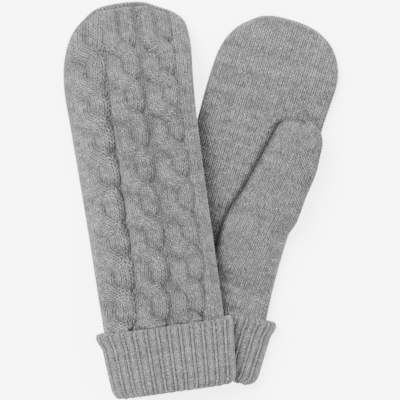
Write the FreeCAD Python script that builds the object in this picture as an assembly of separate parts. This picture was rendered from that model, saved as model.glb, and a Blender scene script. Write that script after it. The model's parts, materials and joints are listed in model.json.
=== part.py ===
import FreeCAD, Part
import math
import os

# A pair of lined, knitted mittens, laid flat with the left one lying across the right one.
# The right mitten lies palm up on the table with its thumb folded over the palm. The left one
# lies palm down over it, its thumb folded underneath, and drapes down to the table.
# Every mitten is first described in its own axes: y runs from the top of the cuff to the
# finger tip, x towards the thumb side, z up from its own underside. lay() then adds the height
# at which the cloth lies at that place and turns and moves it into the frame of the pair:
# +Y towards the finger tips, +Z up, origin on the table under the middle of the pair.
# Lengths are in millimetres and angles in degrees.

# Hand
HAND_THICK = 14.0          # lined hand, lying empty
PALM_WALL = 2.3            # plain knit
BACK_WALL = 3.2            # cable knit
SIDE_WALL = 2.6
WRIST_HALF_WIDTH = 42.0
WRIST_THICK = 11.6         # where the hand enters the cuff
WRIST_RUN = 14.0           # length over which the wrist fills out to the hand
TIP_RUN = 43.0             # length of the rounded finger tip
TIP_SQUARENESS = 2.6       # 2 is an elliptical tip, more is squarer
TABLE_PRESS = 0.5          # how far the right mitten's back is flattened on the table
SEAM = 1.2                 # width of the linked seams
LINING = 0.8
LINING_GAP = 0.4           # between the lining and the knit
LINING_START = 10.0        # the lining is hemmed this far above the cuff

# Thumb
THUMB_THICK = 11.0
THUMB_WALL = 2.1
THUMB_LINING = 0.7
THUMB_LINING_GAP = 0.1
THUMB_HALF_WIDTH = 21.0    # at its root
THUMB_TIP_HALF_WIDTH = 17.8
THUMB_LENGTH = 71.5        # from the middle of the root to the tip
THUMB_TIP_RUN = 19.0
THUMB_CLEAR = 0.5          # between the folded thumb and the palm
THUMB_TIP_SQUARENESS = 2.4
THUMB_HOLE_R = 13.0        # of the passage from the hand into the thumb
PASSAGE_REACH = 1.3        # its cutter starts this far outside the palm
PASSAGE_DEPTH = 6.0        # and ends this far inside
RING_WALL = 0.95           # the linked seam round the passage
RING_CLEAR = 0.05
RING_RISE = 0.3
RING_DEPTH = 3.6
LINING_HOLE_CLEAR = 0.2

# Cuff: an inner leg of rib, and the same rib turned up outside it
CUFF_THICK = 17.5
CUFF_WALL = 2.4
CUFF_CLEAR = 0.6
LEG_WALL = 2.1
CUFF_LENGTH = 46.5         # from the hand down to the fold
FOLD_RADIUS = 1.5          # the leg ends this far inside the fold
TURNUP_RISE = 1.0          # the turn-up's free edge reaches over the hand seam
CUFF_CORNER = 9.0          # rounding of the fold's two ends
FOLD_THINNING = 0.35       # how much of its thickness the cuff loses at the fold
CUFF_STATIONS = (-45.2, -43.0, -40.5, -37.5, -28.0, -14.0)
HAND_STATIONS = (5, 9, WRIST_RUN, 28, 42, 56, 80, 105, 130, 150)

# Cross-sections are closed curves through this many poles
POLES = 28
ROUNDNESS = 0.8            # 1 is an ellipse, less is squarer
STATIONS_OF_HALF = 24
TIP_STEPS = 8
TIP_LAST_ANGLE = 84.0

# Cutting shapes reach past what they cut
BEYOND = 3.0
CUT_REACH = 60             # to each side of a mitten
CUT_STEP = 8
CUT_HEIGHT = 90.0
BLOCK = 160.0
TABLE_BLOCK = 400.0

# The left mitten's height above the table where it lies on the right one
OVER_CUFF = CUFF_THICK + 0.4
OVER_THUMB = HAND_THICK + THUMB_THICK + 2 * THUMB_CLEAR
TIP_HEIGHT = 3.0
EDGE_HEIGHT = 6.0
BEND_START = -4.0          # left of here the cloth bends down to the table
BEND_WIDTH = 42.0
BEND_SHARE = 0.4           # share of that width over which the bend is curved

MITTENS = {
    "right": {"origin": (6.3, -76.5), "turn": -15.5, "palm_up": True, "length": 212.5,
              "half_width": 44.3, "cuff_top": 49.3, "cuff_low": 48.2, "thumb": (21.5, 75.0, 7.5)},
    "left": {"origin": (-25.0, -89.5), "turn": 8.0, "palm_up": False, "length": 231.0,
             "half_width": 45.6, "cuff_top": 47.6, "cuff_low": 43.6, "thumb": (18.0, 75.0, 2.0)},
}


def ease(start, end, value):
    """Smooth step from 0 at start to 1 at end."""
    t = min(max((value - start) / (end - start), 0.0), 1.0)
    return t * t * (3 - 2 * t)


def bend(t):
    """0 at t = 0, 1 at t = 1: a parabola that runs on as a straight line."""
    t = max(t, 0.0)
    if t < BEND_SHARE:
        return t * t / (BEND_SHARE * (2 - BEND_SHARE))
    return (2 * t - BEND_SHARE) / (2 - BEND_SHARE)


def lie_height(mitten, x, y):
    """Height of the mitten's underside above the table."""
    if mitten["palm_up"]:
        return 0.0
    over = OVER_CUFF + (OVER_THUMB - OVER_CUFF) * ease(0.0, 54.0, y)
    tip = ease(148.0, mitten["length"] - 2.0, y)
    over += (TIP_HEIGHT - over) * tip
    edge = max(over - EDGE_HEIGHT, 0.0) * ease(0.0, 80.0, y)
    return over - edge * bend((BEND_START - x) / BEND_WIDTH)


def to_world(mitten, x, y, z):
    a = math.radians(mitten["turn"])
    ox, oy = mitten["origin"]
    return FreeCAD.Vector(
        ox + x * math.cos(a) - y * math.sin(a), oy + x * math.sin(a) + y * math.cos(a), z
    )


def lay(mitten, x, y, z):
    return to_world(mitten, x, y, z + lie_height(mitten, x, y))


def lay_thumb(mitten, x, y, z):
    """x and y from the middle of the thumb's root, y along the thumb. It lies level."""
    root_x, root_y, lean = mitten["thumb"]
    a = math.radians(lean)
    return to_world(
        mitten,
        root_x + x * math.cos(a) + y * math.sin(a),
        root_y - x * math.sin(a) + y * math.cos(a),
        z,
    )


def power(value, exponent):
    return math.copysign(abs(value) ** exponent, value)


def section(put, mitten, y, z, half_width, half_height):
    """Closed curve, a squarish ellipse across the mitten at y."""
    step = 2 * math.pi / POLES
    grow = 3 / (2 + math.cos(step))
    poles = [
        put(
            mitten,
            grow * half_width * power(math.cos(i * step), ROUNDNESS),
            y,
            z + grow * half_height * power(math.sin(i * step), ROUNDNESS),
        )
        for i in range(POLES)
    ]
    curve = Part.BSplineCurve()
    curve.buildFromPoles(poles, True, 3)
    return Part.Wire(curve.toShape())


def facing_out(solid):
    return solid if solid.Volume > 0 else solid.reversed()


def loft(put, mitten, stations, straight=False):
    """Solid through stations of (y, z, half_width, half_height)."""
    wires = [section(put, mitten, *s) for s in stations]
    return facing_out(Part.makeLoft(wires, True, straight))


def round_end(start, run, half_width, squareness):
    """Steps of a rounded end: (y, half_width, share of the thickness)."""
    steps = []
    for i in range(1, TIP_STEPS + 1):
        a = math.radians(TIP_LAST_ANGLE * i / TIP_STEPS)
        y = start + run * math.sin(a) ** (2 / squareness)
        steps.append((y, half_width * math.cos(a) ** (2 / squareness), math.cos(a) ** 0.5))
    return steps


def hand_middle(y):
    """Height of the hand's mid-plane above its underside."""
    return CUFF_THICK / 2 + (HAND_THICK - CUFF_THICK) / 2 * ease(0.0, WRIST_RUN, y)


def hand_solid(mitten, start, side, palm, back, press=0.0):
    """The hand's outer shape, drawn in by the wall thicknesses and let down by press."""
    tip_start = mitten["length"] - TIP_RUN
    shift = (back - palm) / 2 * (1 if mitten["palm_up"] else -1)
    stations = []
    for y in [start, *(y for y in HAND_STATIONS if y > start + 1), tip_start]:
        share = max(y, 0.0) / tip_start
        half_width = WRIST_HALF_WIDTH + (mitten["half_width"] - WRIST_HALF_WIDTH) * share
        thick = WRIST_THICK + (HAND_THICK - WRIST_THICK) * ease(0.0, WRIST_RUN, y)
        stations.append((y, half_width - side, thick))
    stations += [
        (y, half_width, HAND_THICK * share)
        for y, half_width, share in round_end(
            tip_start, TIP_RUN - side, mitten["half_width"] - side, TIP_SQUARENESS
        )
    ]
    out = []
    for y, half_width, thick in stations:
        drawn_in = (palm + back) / 2 * thick / HAND_THICK if y > tip_start else (palm + back) / 2
        down = press / 2 * ease(0.0, WRIST_RUN, y)
        out.append((y, hand_middle(y) + shift - down, half_width, thick / 2 - drawn_in + down))
    return loft(lay, mitten, out)


def half_of_hand(mitten, up):
    """Everything above, or below, the side seam's slab at the hand's mid-plane."""
    sign = 1 if up else -1
    wires = []
    for i in range(STATIONS_OF_HALF + 1):
        y = (mitten["length"] + 3 * BEYOND) * i / STATIONS_OF_HALF - BEYOND
        z = hand_middle(y) + sign * SEAM / 2
        curve = Part.BSplineCurve()
        across = range(-CUT_REACH, CUT_REACH + 1, CUT_STEP)
        curve.buildFromPoles([lay(mitten, x, y, z) for x in across], False, 3)
        wires.append(Part.Wire(curve.toShape()))
    middle_plane = Part.makeLoft(wires, False, False).Faces[0]
    return facing_out(middle_plane.extrude(FreeCAD.Vector(0, 0, sign * CUT_HEIGHT)))


def slice_across(mitten, low, high):
    """A block that holds the stretch from low to high of a mitten."""
    corner = FreeCAD.Vector(-BLOCK / 2, low, -BLOCK / 2)
    block = Part.makeBox(BLOCK, high - low, BLOCK, corner)
    block.rotate(FreeCAD.Vector(), FreeCAD.Vector(0, 0, 1), mitten["turn"])
    block.translate(FreeCAD.Vector(*mitten["origin"], 0))
    return block


def passage(mitten, radius, outside, inside):
    """Round passage on the thumb's turning axis, reaching so far out of the palm and into it."""
    root_x, root_y, _ = mitten["thumb"]
    if mitten["palm_up"]:
        low, high = HAND_THICK - inside, HAND_THICK + outside
    else:
        low, high = OVER_THUMB - outside, OVER_THUMB + inside
    return Part.makeCylinder(radius, high - low, to_world(mitten, root_x, root_y, low))


def thumb_solid(mitten, inset):
    """The thumb's outer shape, drawn in all round by inset."""
    low = HAND_THICK + THUMB_CLEAR
    middle = low + THUMB_THICK / 2
    half_height = THUMB_THICK / 2 - inset
    root = THUMB_HALF_WIDTH - inset
    tip = THUMB_TIP_HALF_WIDTH - inset
    tip_start = THUMB_LENGTH - THUMB_TIP_RUN
    back_end = [(-y, w, share) for y, w, share in round_end(0.0, root, root, 2.0)]
    stations = [(y, middle, w, half_height * share) for y, w, share in reversed(back_end)]
    stations.append((0.0, middle, root, half_height))
    for share in (0.33, 0.66, 1.0):
        half_width = root + (tip - root) * share
        stations.append((tip_start * share, middle, half_width, half_height))
    for y, w, share in round_end(tip_start, THUMB_TIP_RUN - inset, tip, THUMB_TIP_SQUARENESS):
        stations.append((y, middle, w, half_height * share))
    return loft(lay_thumb, mitten, stations)


def cuff_solid(mitten, start, end, inset):
    """The turned-up cuff's outer shape from near the fold up to end, drawn in by inset."""
    stations = []
    for y in [start, *(y for y in CUFF_STATIONS if y > start + 0.5), end]:
        along = min(max(-y / CUFF_LENGTH, 0.0), 1.0)
        corner = min(max(1 - (y + CUFF_LENGTH) / CUFF_CORNER, 0.0), 1.0)
        rounding = 1 - math.sqrt(1 - corner * corner)
        half_width = mitten["cuff_top"] + (mitten["cuff_low"] - mitten["cuff_top"]) * along
        half_width -= CUFF_CORNER * rounding + inset
        half_height = CUFF_THICK / 2 * (1 - FOLD_THINNING * rounding) - inset
        stations.append((y, CUFF_THICK / 2, half_width, half_height))
    return loft(lay, mitten, stations, straight=True)


def above_table(shape):
    corner = FreeCAD.Vector(-TABLE_BLOCK / 2, -TABLE_BLOCK / 2, 0)
    return shape.common(Part.makeBox(TABLE_BLOCK, TABLE_BLOCK, TABLE_BLOCK, corner))


def make_panels(mitten):
    """The knitted hand: two panels, the seam round its side and the seam ring at the cuff."""
    palm_up = mitten["palm_up"]
    outer = hand_solid(mitten, 0.0, 0.0, 0.0, 0.0, TABLE_PRESS if palm_up else 0.0)
    shell = outer.cut(hand_solid(mitten, -1.0, SIDE_WALL, PALM_WALL, BACK_WALL))
    at_cuff = slice_across(mitten, -1.0, SEAM)
    cuff_seam = shell.common(at_cuff)
    shell = shell.cut(at_cuff)
    upper = half_of_hand(mitten, True)
    lower = half_of_hand(mitten, False)
    side_seam = shell.cut(upper).cut(lower)
    palm, back = shell.common(upper), above_table(shell.common(lower))
    if not palm_up:
        palm, back = shell.common(lower), shell.common(upper)
    palm = palm.cut(passage(mitten, THUMB_HOLE_R, PASSAGE_REACH, PASSAGE_DEPTH))
    return {"palm_panel": palm, "back_panel": back, "side_seam": side_seam, "cuff_seam": cuff_seam}


def make_hand_lining(mitten):
    near, far = LINING_GAP, LINING_GAP + LINING
    outer = hand_solid(mitten, LINING_START, SIDE_WALL + near, PALM_WALL + near, BACK_WALL + near)
    inner = hand_solid(
        mitten, LINING_START - 1, SIDE_WALL + far, PALM_WALL + far, BACK_WALL + far
    )
    hole = passage(mitten, THUMB_HOLE_R + LINING_HOLE_CLEAR, RING_RISE, PASSAGE_DEPTH)
    return outer.cut(inner).cut(hole)


def make_thumb(mitten):
    """The thumb, its lining and the seam ring round the passage into the hand."""
    half = THUMB_THICK / 2
    hole = passage(mitten, THUMB_HOLE_R, half + THUMB_CLEAR, half)
    thumb = thumb_solid(mitten, 0.0).cut(thumb_solid(mitten, THUMB_WALL)).cut(hole)
    inset = THUMB_WALL + THUMB_LINING_GAP
    lining = thumb_solid(mitten, inset).cut(thumb_solid(mitten, inset + THUMB_LINING))
    hole = passage(mitten, THUMB_HOLE_R + LINING_HOLE_CLEAR, half + THUMB_CLEAR, half)
    ring = passage(mitten, THUMB_HOLE_R - RING_CLEAR, RING_RISE, RING_DEPTH)
    bore = passage(mitten, THUMB_HOLE_R - RING_CLEAR - RING_WALL, RING_RISE, RING_DEPTH)
    return {"thumb": thumb, "thumb_lining": lining.cut(hole), "thumb_seam": ring.cut(bore)}


def make_cuff(mitten):
    """The turn-up, and the leg of the same rib inside it."""
    turnup = cuff_solid(mitten, -CUFF_LENGTH, TURNUP_RISE, 0.0)
    turnup = turnup.cut(cuff_solid(mitten, -CUFF_LENGTH - 1, TURNUP_RISE + 1, CUFF_WALL))
    inset = CUFF_WALL + CUFF_CLEAR
    leg = cuff_solid(mitten, -CUFF_LENGTH + FOLD_RADIUS, 0.0, inset)
    leg = leg.cut(cuff_solid(mitten, -CUFF_LENGTH, 1.0, inset + LEG_WALL))
    return {"cuff_leg": leg, "cuff_turnup": turnup}


os.makedirs("parts", exist_ok=True)
for side, mitten in MITTENS.items():
    pieces = {**make_panels(mitten), **make_thumb(mitten), **make_cuff(mitten)}
    pieces["hand_lining"] = make_hand_lining(mitten)
    for name, shape in pieces.items():
        print(side, name, len(shape.Solids), round(shape.Volume), shape.isValid(), shape.BoundBox)
        shape.exportStep(f"parts/{side}_{name}.step")
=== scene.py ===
import json
import math
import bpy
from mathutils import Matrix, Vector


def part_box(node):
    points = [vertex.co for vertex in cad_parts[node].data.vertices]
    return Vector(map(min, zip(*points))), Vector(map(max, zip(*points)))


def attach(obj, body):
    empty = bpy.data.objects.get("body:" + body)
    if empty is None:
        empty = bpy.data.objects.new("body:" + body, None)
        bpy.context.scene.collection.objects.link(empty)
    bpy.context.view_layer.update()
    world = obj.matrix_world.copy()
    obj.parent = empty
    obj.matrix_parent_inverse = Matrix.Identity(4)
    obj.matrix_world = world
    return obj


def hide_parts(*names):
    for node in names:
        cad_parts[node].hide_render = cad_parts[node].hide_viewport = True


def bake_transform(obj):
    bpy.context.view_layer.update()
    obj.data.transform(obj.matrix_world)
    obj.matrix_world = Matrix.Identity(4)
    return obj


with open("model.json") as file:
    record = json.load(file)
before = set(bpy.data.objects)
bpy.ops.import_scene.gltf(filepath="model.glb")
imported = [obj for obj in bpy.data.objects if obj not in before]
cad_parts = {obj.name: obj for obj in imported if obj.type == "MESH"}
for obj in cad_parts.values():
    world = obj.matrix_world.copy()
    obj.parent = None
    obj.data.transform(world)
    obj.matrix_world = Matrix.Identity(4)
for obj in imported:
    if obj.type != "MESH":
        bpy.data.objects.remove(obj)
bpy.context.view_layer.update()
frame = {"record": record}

from types import SimpleNamespace

import bmesh
import bpy
import numpy as np
from bpy.props import FloatProperty, FloatVectorProperty, PointerProperty
from mathutils import Vector

bl_info = {
    "name": "Knitted Mittens",
    "version": (1, 0, 0),
    "blender": (4, 5, 0),
    "location": "3D View > Sidebar > Mittens",
    "description": "Knits a pair of lined cable mittens stitch by stitch",
    "category": "Object",
}

# Every mitten is knitted in its own axes, in millimetres: y runs from the top of the cuff to the
# finger tip, x towards the thumb side and z up from its own underside. Mitten.lay() drapes such a
# point, turns it and puts it in the frame, in metres.

MM = 0.001
SIDES = ("right", "left")
RECORD = frame["record"]
MOUNTS = {m["name"]: m for m in RECORD["mounts"]}
JOINTS = {j["name"]: j for j in RECORD["behaviour"]["joints"]}


# ---------------------------------------------------------------- settings

class MittenSizes(bpy.types.PropertyGroup):
    """Sizes of the pair as it lies"""

    right_length: FloatProperty(
        name="Right hand length", default=0.2125, unit="LENGTH", precision=4,
        description="From the cuff to the finger tip")
    left_length: FloatProperty(
        name="Left hand length", default=0.231, unit="LENGTH", precision=4,
        description="From the cuff to the finger tip")
    right_half: FloatProperty(
        name="Right half width", default=0.0443, unit="LENGTH", precision=4,
        description="Half the width across the fingers")
    left_half: FloatProperty(
        name="Left half width", default=0.0456, unit="LENGTH", precision=4,
        description="Half the width across the fingers")
    wrist_half: FloatProperty(
        name="Wrist half width", default=0.042, unit="LENGTH", precision=4,
        description="Half the width where the hand enters the cuff")
    hand_thick: FloatProperty(
        name="Hand thickness", default=0.014, unit="LENGTH", precision=4,
        description="Thickness of the empty, lined hand")
    tip_run: FloatProperty(
        name="Tip length", default=0.043, unit="LENGTH", precision=4,
        description="Length over which the finger tip is rounded")
    cuff_length: FloatProperty(
        name="Turn-up height", default=0.0465, unit="LENGTH", precision=4,
        description="From the hand seam down to the fold")
    cuff_thick: FloatProperty(
        name="Cuff thickness", default=0.0175, unit="LENGTH", precision=4,
        description="Thickness of the turned-up cuff as it lies")
    right_cuff_top: FloatProperty(
        name="Right cuff, top", default=0.0493, unit="LENGTH", precision=4,
        description="Half the width at the free edge of the turn-up")
    right_cuff_low: FloatProperty(
        name="Right cuff, fold", default=0.0482, unit="LENGTH", precision=4,
        description="Half the width at the fold")
    left_cuff_top: FloatProperty(
        name="Left cuff, top", default=0.0476, unit="LENGTH", precision=4,
        description="Half the width at the free edge of the turn-up")
    left_cuff_low: FloatProperty(
        name="Left cuff, fold", default=0.0436, unit="LENGTH", precision=4,
        description="Half the width at the fold")
    thumb_thick: FloatProperty(
        name="Thumb thickness", default=0.011, unit="LENGTH", precision=4,
        description="Thickness of the empty thumb")
    thumb_length: FloatProperty(
        name="Thumb length", default=0.0715, unit="LENGTH", precision=4,
        description="From the middle of its root to its tip")


class KnitGauge(bpy.types.PropertyGroup):
    """Gauge of the knitting"""

    wale: FloatProperty(
        name="Stitch width", default=0.0031, unit="LENGTH", precision=4,
        description="Plain knit, across")
    course: FloatProperty(
        name="Stitch height", default=0.0022, unit="LENGTH", precision=4,
        description="Plain knit, along")
    relief: FloatProperty(
        name="Stitch relief", default=0.00095, unit="LENGTH", precision=4,
        description="Height of a stitch over the gaps round it")
    rib: FloatProperty(
        name="Rib repeat", default=0.0076, unit="LENGTH", precision=4,
        description="Width of one rib")
    rib_course: FloatProperty(
        name="Rib stitch height", default=0.0021, unit="LENGTH", precision=4,
        description="Height of one stitch in the cuff")
    cable_pitch: FloatProperty(
        name="Cable crossing", default=0.0241, unit="LENGTH", precision=4,
        description="Length from one crossing to the next")
    cable_first: FloatProperty(
        name="First crossing", default=0.0279, unit="LENGTH", precision=4,
        description="Height of the lowest full crossing over the cuff")
    cable_spacing: FloatProperty(
        name="Cable spacing", default=0.0256, unit="LENGTH", precision=4,
        description="Between the middles of two cables")
    cable_offset: FloatProperty(
        name="Cable offset", default=-0.0029, unit="LENGTH", precision=4,
        description="Place of the middle cable, towards the thumb side")
    strand_half: FloatProperty(
        name="Strand half width", default=0.0067, unit="LENGTH", precision=4,
        description="Half the width of one strand of a cable")
    strand_high: FloatProperty(
        name="Strand height", default=0.0042, unit="LENGTH", precision=4,
        description="Height of a strand over the ground between cables")
    strand_swing: FloatProperty(
        name="Strand swing", default=0.0058, unit="LENGTH", precision=4,
        description="How far a strand swings out from its cable's middle")


class YarnLook(bpy.types.PropertyGroup):
    """Colours of the yarn, the lining and the floor"""

    yarn: FloatVectorProperty(
        name="Yarn", default=(0.122, 0.122, 0.122), subtype="COLOR", size=3, min=0, max=1,
        description="Middle of the heather grey")
    pale: FloatVectorProperty(
        name="Pale fibres", default=(0.265, 0.265, 0.265), subtype="COLOR", size=3, min=0, max=1,
        description="Lightest fibres of the blend")
    dark: FloatVectorProperty(
        name="Dark fibres", default=(0.04, 0.04, 0.04), subtype="COLOR", size=3, min=0, max=1,
        description="Darkest fibres of the blend")
    lining: FloatVectorProperty(
        name="Lining", default=(0.11, 0.11, 0.11), subtype="COLOR", size=3, min=0, max=1,
        description="Brushed fleece inside")
    floor: FloatVectorProperty(
        name="Floor", default=(0.97, 0.97, 0.97), subtype="COLOR", size=3, min=0, max=1,
        description="Plain pale floor")


def measures(name):
    """The lengths of a group of settings, in millimetres."""
    settings = getattr(bpy.context.scene, name)
    return SimpleNamespace(**{label: getattr(settings, label) / MM
                              for label in settings.__annotations__})


# ---------------------------------------------------------------- form

def ease(start, end, value):
    """Smooth step from 0 at start to 1 at end."""
    t = np.clip((np.asarray(value, float) - start) / (end - start), 0.0, 1.0)
    return t * t * (3 - 2 * t)


def power(value, exponent):
    return np.sign(value) * np.abs(value) ** exponent


def through(value, *points):
    """Smooth curve through (place, height) points, read at value."""
    xs = np.array([p[0] for p in points], float)
    ys = np.array([p[1] for p in points], float)
    slopes = np.gradient(ys, xs)
    i = np.clip(np.searchsorted(xs, value) - 1, 0, len(xs) - 2)
    step = xs[i + 1] - xs[i]
    t = np.clip((value - xs[i]) / step, 0, 1)
    start = (2 * t**3 - 3 * t**2 + 1) * ys[i] + (t**3 - 2 * t**2 + t) * step * slopes[i]
    end = (3 * t**2 - 2 * t**3) * ys[i + 1] + (t**3 - t**2) * step * slopes[i + 1]
    return start + end


def rounding(share):
    """Drop of a quarter circle: 0 at share 0, 1 at share 1."""
    share = np.clip(share, 0, 1)
    return 1 - np.sqrt(1 - share * share)


ROUNDNESS = 0.8          # of the cross-sections: 1 is an ellipse, less is squarer
TIP_SQUARENESS = 2.6
THUMB_SQUARENESS = 2.4
TIP_THINNING = 0.25      # less keeps a tip thick for longer
WRIST_RUN = 14.0
WRIST_THICK = 11.6

# The left mitten lies over the right one.
THUMB_CLEAR = 0.5
REST_RUN = (0.0, 54.0)   # from the height of the right cuff to that of the right thumb
TIP_HEIGHT = 3.0         # of its finger tip over the table
TIP_FALL = 148.0         # where the cloth starts to fall towards the tip
TIP_REST = 2.0
EDGE_HEIGHT = 6.0        # of its outer side
EDGE_RUN = 80.0
BEND_START = -4.0
BEND_WIDTH = 42.0
BEND_SHARE = 0.4

# How far the limp cloth is pushed out at its sides, at distances along the hand. Below 0 it is
# drawn in.
SIDE_SWELL = {
    "right": {
        "inner": ((0, 0.0), (120, 0.0), (165, -0.6), (185, -2.2), (198, -3.6), (207, -4.0),
                  (213, 0.0)),
        "outer": ((0, 0.0), (20, -1.4), (60, -2.0), (85, -1.0), (110, 0.0), (150, 0.3),
                  (180, 1.6), (200, 0.5), (213, 0.0)),
    },
    "left": {
        "inner": ((0, 0.0), (40, 0.3), (75, 1.0), (110, 1.3), (150, 1.8), (178, 1.8), (190, 0.2),
                  (203, -2.4), (216, -4.2), (226, -4.2), (231, 0.0)),
        "outer": ((0, 0.0), (190, 0.2), (205, 1.4), (213, 2.6), (220, 0.8), (226, -2.6),
                  (231, 0.0)),
    },
}

CUFF_CORNER = 9.0
CUFF_DRAWN_IN = {"right": (0.0, 1.8), "left": (2.4, 0.0)}    # at its inner and its outer side
DRAWN_IN_RUN = (-1.0, -10.0)
FREE_EDGE = 1.7          # height of the turn-up's free edge over the hand's seam
EDGE_CORNER = 3.0        # rounding of the free edge's corners
FOLD_THINNING = 0.35

THUMB_LEAN = {"right": 7.5, "left": 2.0}
THUMB_TIP_RUN = 19.0
THUMB_ROOT_HALF = 21.5
THUMB_TAPER = 3.7
TAPER_START = 12.0
ROOT_START = -60.0       # where the thumb's gusset begins, along the thumb
ROOT_SHIFT = -2.4
ROOT_SHIFT_RUN = (-20, 14)
ROOT_SWELL = 1.8
ROOT_SWELL_RUN = (-38, -6, 14)    # where it begins, is widest and ends
ROOT_BURIED = 3.0        # the gusset reaches this far down into the palm
LEAVES_EDGE = (-13, 4)   # the thumb's outer side leaves the hand's edge along this run
EDGE_FLUSH = 0.6         # until there it lies this far inside that edge
SHOULDER_POWER = 1.6     # more makes the gusset's outer shoulder slope more evenly
SHOULDER_DEPTH = 2.5
SHOULDER_RUN = (-0.1, 0.75)       # in u, from the gusset's middle to its outer side
THUMB_LEVEL = 140.0      # beyond this place of the hand the left thumb lies level
THUMB_BOW = 2.0          # the thumb's outer side bows out, most at BOW_PLACE
BOW_PLACE = 40.0
BOW_RUN = 14.0
THUMB_RISE = ((ROOT_START, -0.5), (-50, 1.6), (-37, 4.0), (-25, 6.2), (-12, 8.3), (0, 10.0),
              (12, 11.2), (22, 11.5))    # height of its top over the palm


class Mitten:
    """The form of one mitten: where each point of its pattern lies."""

    def __init__(self, side):
        sizes = measures("mitten_sizes")
        self.side = side
        self.palm_up = side == "right"
        self.length = getattr(sizes, side + "_length")
        self.half = getattr(sizes, side + "_half")
        self.cuff_top = getattr(sizes, side + "_cuff_top")
        self.cuff_low = getattr(sizes, side + "_cuff_low")
        self.wrist = sizes.wrist_half
        self.thick = sizes.hand_thick
        self.tip_run = sizes.tip_run
        self.cuff_length = sizes.cuff_length
        self.cuff_thick = sizes.cuff_thick
        self.thumb_thick = sizes.thumb_thick
        self.thumb_length = sizes.thumb_length
        down = Vector(JOINTS[side + "_cuff_turn_down"]["axis"])
        self.turn = math.atan2(down.x, -down.y)
        top = Vector(MOUNTS[side + "_hand_opening"]["pos_m"]) / MM - down * self.cuff_length
        self.origin = (top.x, top.y)
        root = Vector(JOINTS[side + "_thumb_swing"]["pos_m"]) / MM
        dx, dy = root.x - top.x, root.y - top.y
        c, s = math.cos(self.turn), math.sin(self.turn)
        self.root = (dx * c + dy * s, -dx * s + dy * c)
        self.lean = math.radians(THUMB_LEAN[side])
        self.over_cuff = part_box(side + "_cuff_turnup")[0].z / MM
        self.over_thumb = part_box(side + "_thumb")[1].z / MM + THUMB_CLEAR

    def height(self, x, y):
        """Height of the underside over the table."""
        if self.palm_up:
            return np.zeros(np.broadcast(x, y).shape)
        over = self.over_cuff + (self.over_thumb - self.over_cuff) * ease(*REST_RUN, y)
        over = over + (TIP_HEIGHT - over) * ease(TIP_FALL, self.length - TIP_REST, y)
        edge = np.maximum(over - EDGE_HEIGHT, 0.0) * ease(0.0, EDGE_RUN, y)
        t = np.maximum((BEND_START - x) / BEND_WIDTH, 0.0)
        curved = t * t / (BEND_SHARE * (2 - BEND_SHARE))
        straight = (2 * t - BEND_SHARE) / (2 - BEND_SHARE)
        return over - edge * np.where(t < BEND_SHARE, curved, straight)

    def place(self, x, y, z):
        """Pattern millimetres, with z over the table, to metres in the frame."""
        c, s = math.cos(self.turn), math.sin(self.turn)
        world_x = self.origin[0] + x * c - y * s
        world_y = self.origin[1] + x * s + y * c
        return MM * np.stack(np.broadcast_arrays(world_x, world_y, z), axis=-1)

    def lay(self, x, y, z):
        return self.place(x, y, z + self.height(x, y))

    def half_width(self, y):
        start = self.length - self.tip_run
        body = self.wrist + (self.half - self.wrist) * np.clip(y, 0, start) / start
        t = np.clip((y - start) / self.tip_run, 0, 1)
        return body * (1 - t**TIP_SQUARENESS) ** (1 / TIP_SQUARENESS)

    def half_thick(self, y):
        start = self.length - self.tip_run
        full = (WRIST_THICK + (self.thick - WRIST_THICK) * ease(0, WRIST_RUN, y)) / 2
        t = np.clip((y - start) / self.tip_run, 0, 1)
        return full * (1 - t**TIP_SQUARENESS) ** TIP_THINNING

    def middle(self, y):
        return self.cuff_thick / 2 + (self.thick - self.cuff_thick) / 2 * ease(0, WRIST_RUN, y)

    def sides(self, u, y):
        """How far the limp cloth's sides are pushed out or drawn in, for u from -1 to 1 across."""
        inner = through(y, *SIDE_SWELL[self.side]["inner"])
        outer = through(y, *SIDE_SWELL[self.side]["outer"])
        return outer * np.clip(u, 0, 1) ** 2 - inner * np.clip(-u, 0, 1) ** 2

    def hand(self, angle, y, inset=0.0):
        """Point of the hand at an angle round its section: 0 is the thumb side, 90 degrees up."""
        across = np.maximum(self.half_width(y) - inset, 0)
        up = np.maximum(self.half_thick(y) - inset, 0)
        u = power(np.cos(angle), ROUNDNESS)
        x = across * u + self.sides(u, y)
        return self.lay(x, y, self.middle(y) + up * power(np.sin(angle), ROUNDNESS))

    def cuff(self, angle, y, inset=0.0):
        """Point of the turned-up cuff."""
        down = np.clip(-y / self.cuff_length, 0, 1)
        corner = rounding(1 - (y + self.cuff_length) / CUFF_CORNER)
        half = self.cuff_top + (self.cuff_low - self.cuff_top) * down - CUFF_CORNER * corner
        half = half - EDGE_CORNER * rounding(1 + (y - FREE_EDGE) / EDGE_CORNER)
        up = self.cuff_thick / 2 * (1 - FOLD_THINNING * corner)
        u = power(np.cos(angle), ROUNDNESS)
        inner, outer = CUFF_DRAWN_IN[self.side]
        drawn_in = inner * np.clip(-u, 0, 1) ** 2 - outer * np.clip(u, 0, 1) ** 2
        x = (half - inset) * u + ease(*DRAWN_IN_RUN, y) * drawn_in
        z = self.cuff_thick / 2 + (up - inset) * power(np.sin(angle), ROUNDNESS)
        return self.lay(x, y, z)

    def thumb_half(self, y):
        start = self.thumb_length - THUMB_TIP_RUN
        taper = np.clip((y - TAPER_START) / (start - TAPER_START), 0, 1)
        body = THUMB_ROOT_HALF - THUMB_TAPER * taper
        begin, widest, end = ROOT_SWELL_RUN
        body = body + ROOT_SWELL * ease(begin, widest, y) * (1 - ease(widest, end, y))
        t = np.clip((y - start) / THUMB_TIP_RUN, 0, 1)
        return body * (1 - t**THUMB_SQUARENESS) ** (1 / THUMB_SQUARENESS)

    def root_shift(self, y):
        """How far the gusset's middle lies inwards of the thumb's."""
        return ROOT_SHIFT * (1 - ease(*ROOT_SHIFT_RUN, y))

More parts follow.
